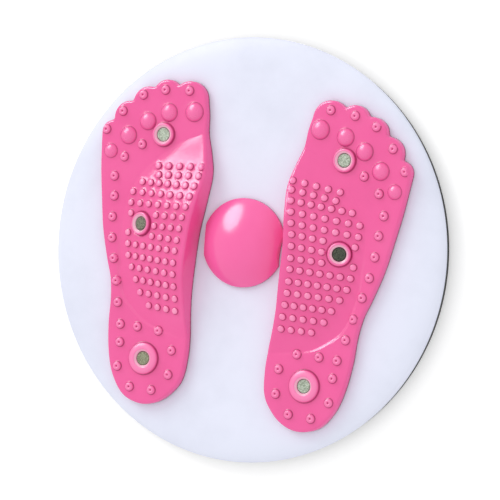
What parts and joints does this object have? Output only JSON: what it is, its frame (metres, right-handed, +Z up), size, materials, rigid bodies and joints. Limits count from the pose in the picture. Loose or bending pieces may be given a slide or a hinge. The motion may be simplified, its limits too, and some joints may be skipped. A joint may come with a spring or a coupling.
{
  "type": "waist twisting disc",
  "caption": "Round exercise disc on a ball race: a white plate with two pink studded foot massage pads turns on a black base with rubber feet",
  "frame": {"origin": "on the disc's axis, on the floor under the rubber feet", "axes": "+Z is up along the turning axis, +Y points to the toes of the foot pads, +X is on the right foot's side"},
  "size_m": [0.28, 0.28, 0.0366],
  "materials": {
    "white_abs": "moulded white ABS, glossy, slightly cool",
    "pink_pad": "soft pink moulded elastomer, satin",
    "pink_dome": "pink moulded plastic, semi-gloss",
    "black_abs": "moulded black ABS, fine matt texture",
    "black_rubber": "black rubber, matt",
    "race_steel": "pressed steel strip, oiled",
    "ball_steel": "polished bearing steel",
    "zinc_steel": "bright zinc-plated steel",
    "nylon": "natural nylon, satin",
    "magnet": "grey sintered magnet disc, fine grain"
  },
  "bodies": {
    "base": {"base_plate": "black_abs", "lower_race": "race_steel", "centre_bolt": "zinc_steel", "thrust_washer": "zinc_steel", "top_washer": "zinc_steel", "lock_nut": "zinc_steel", "rubber_foot_1": "black_rubber", "rubber_foot_2": "black_rubber", "rubber_foot_3": "black_rubber", "rubber_foot_4": "black_rubber", "rubber_foot_5": "black_rubber", "rubber_foot_6": "black_rubber"},
    "cage": {"ball_cage": "nylon", "ball_01": "ball_steel", "ball_02": "ball_steel", "ball_03": "ball_steel", "ball_04": "ball_steel", "ball_05": "ball_steel", "ball_06": "ball_steel", "ball_07": "ball_steel", "ball_08": "ball_steel", "ball_09": "ball_steel", "ball_10": "ball_steel", "ball_11": "ball_steel", "ball_12": "ball_steel"},
    "turntable": {"top_plate": "white_abs", "upper_race": "race_steel", "hub_bush": "nylon", "centre_dome": "pink_dome", "right_foot_pad": "pink_pad", "left_foot_pad": "pink_pad", "right_ball_magnet": "magnet", "right_arch_magnet": "magnet", "right_heel_magnet": "magnet", "left_ball_magnet": "magnet", "left_arch_magnet": "magnet", "left_heel_magnet": "magnet"}
  },
  "joints": [
    {"name": "turntable_spin", "type": "hinge", "parent": "base", "child": "turntable", "pos_m": [0, 0, 0], "axis": [0, 0, 1], "continuous": true},
    {"name": "cage_spin", "type": "hinge", "parent": "base", "child": "cage", "pos_m": [0, 0, 0], "axis": [0, 0, 1], "continuous": true}
  ],
  "couplings": [
    {"joint": "cage_spin", "follows": "turntable_spin", "ratio": 0.5}
  ]
}
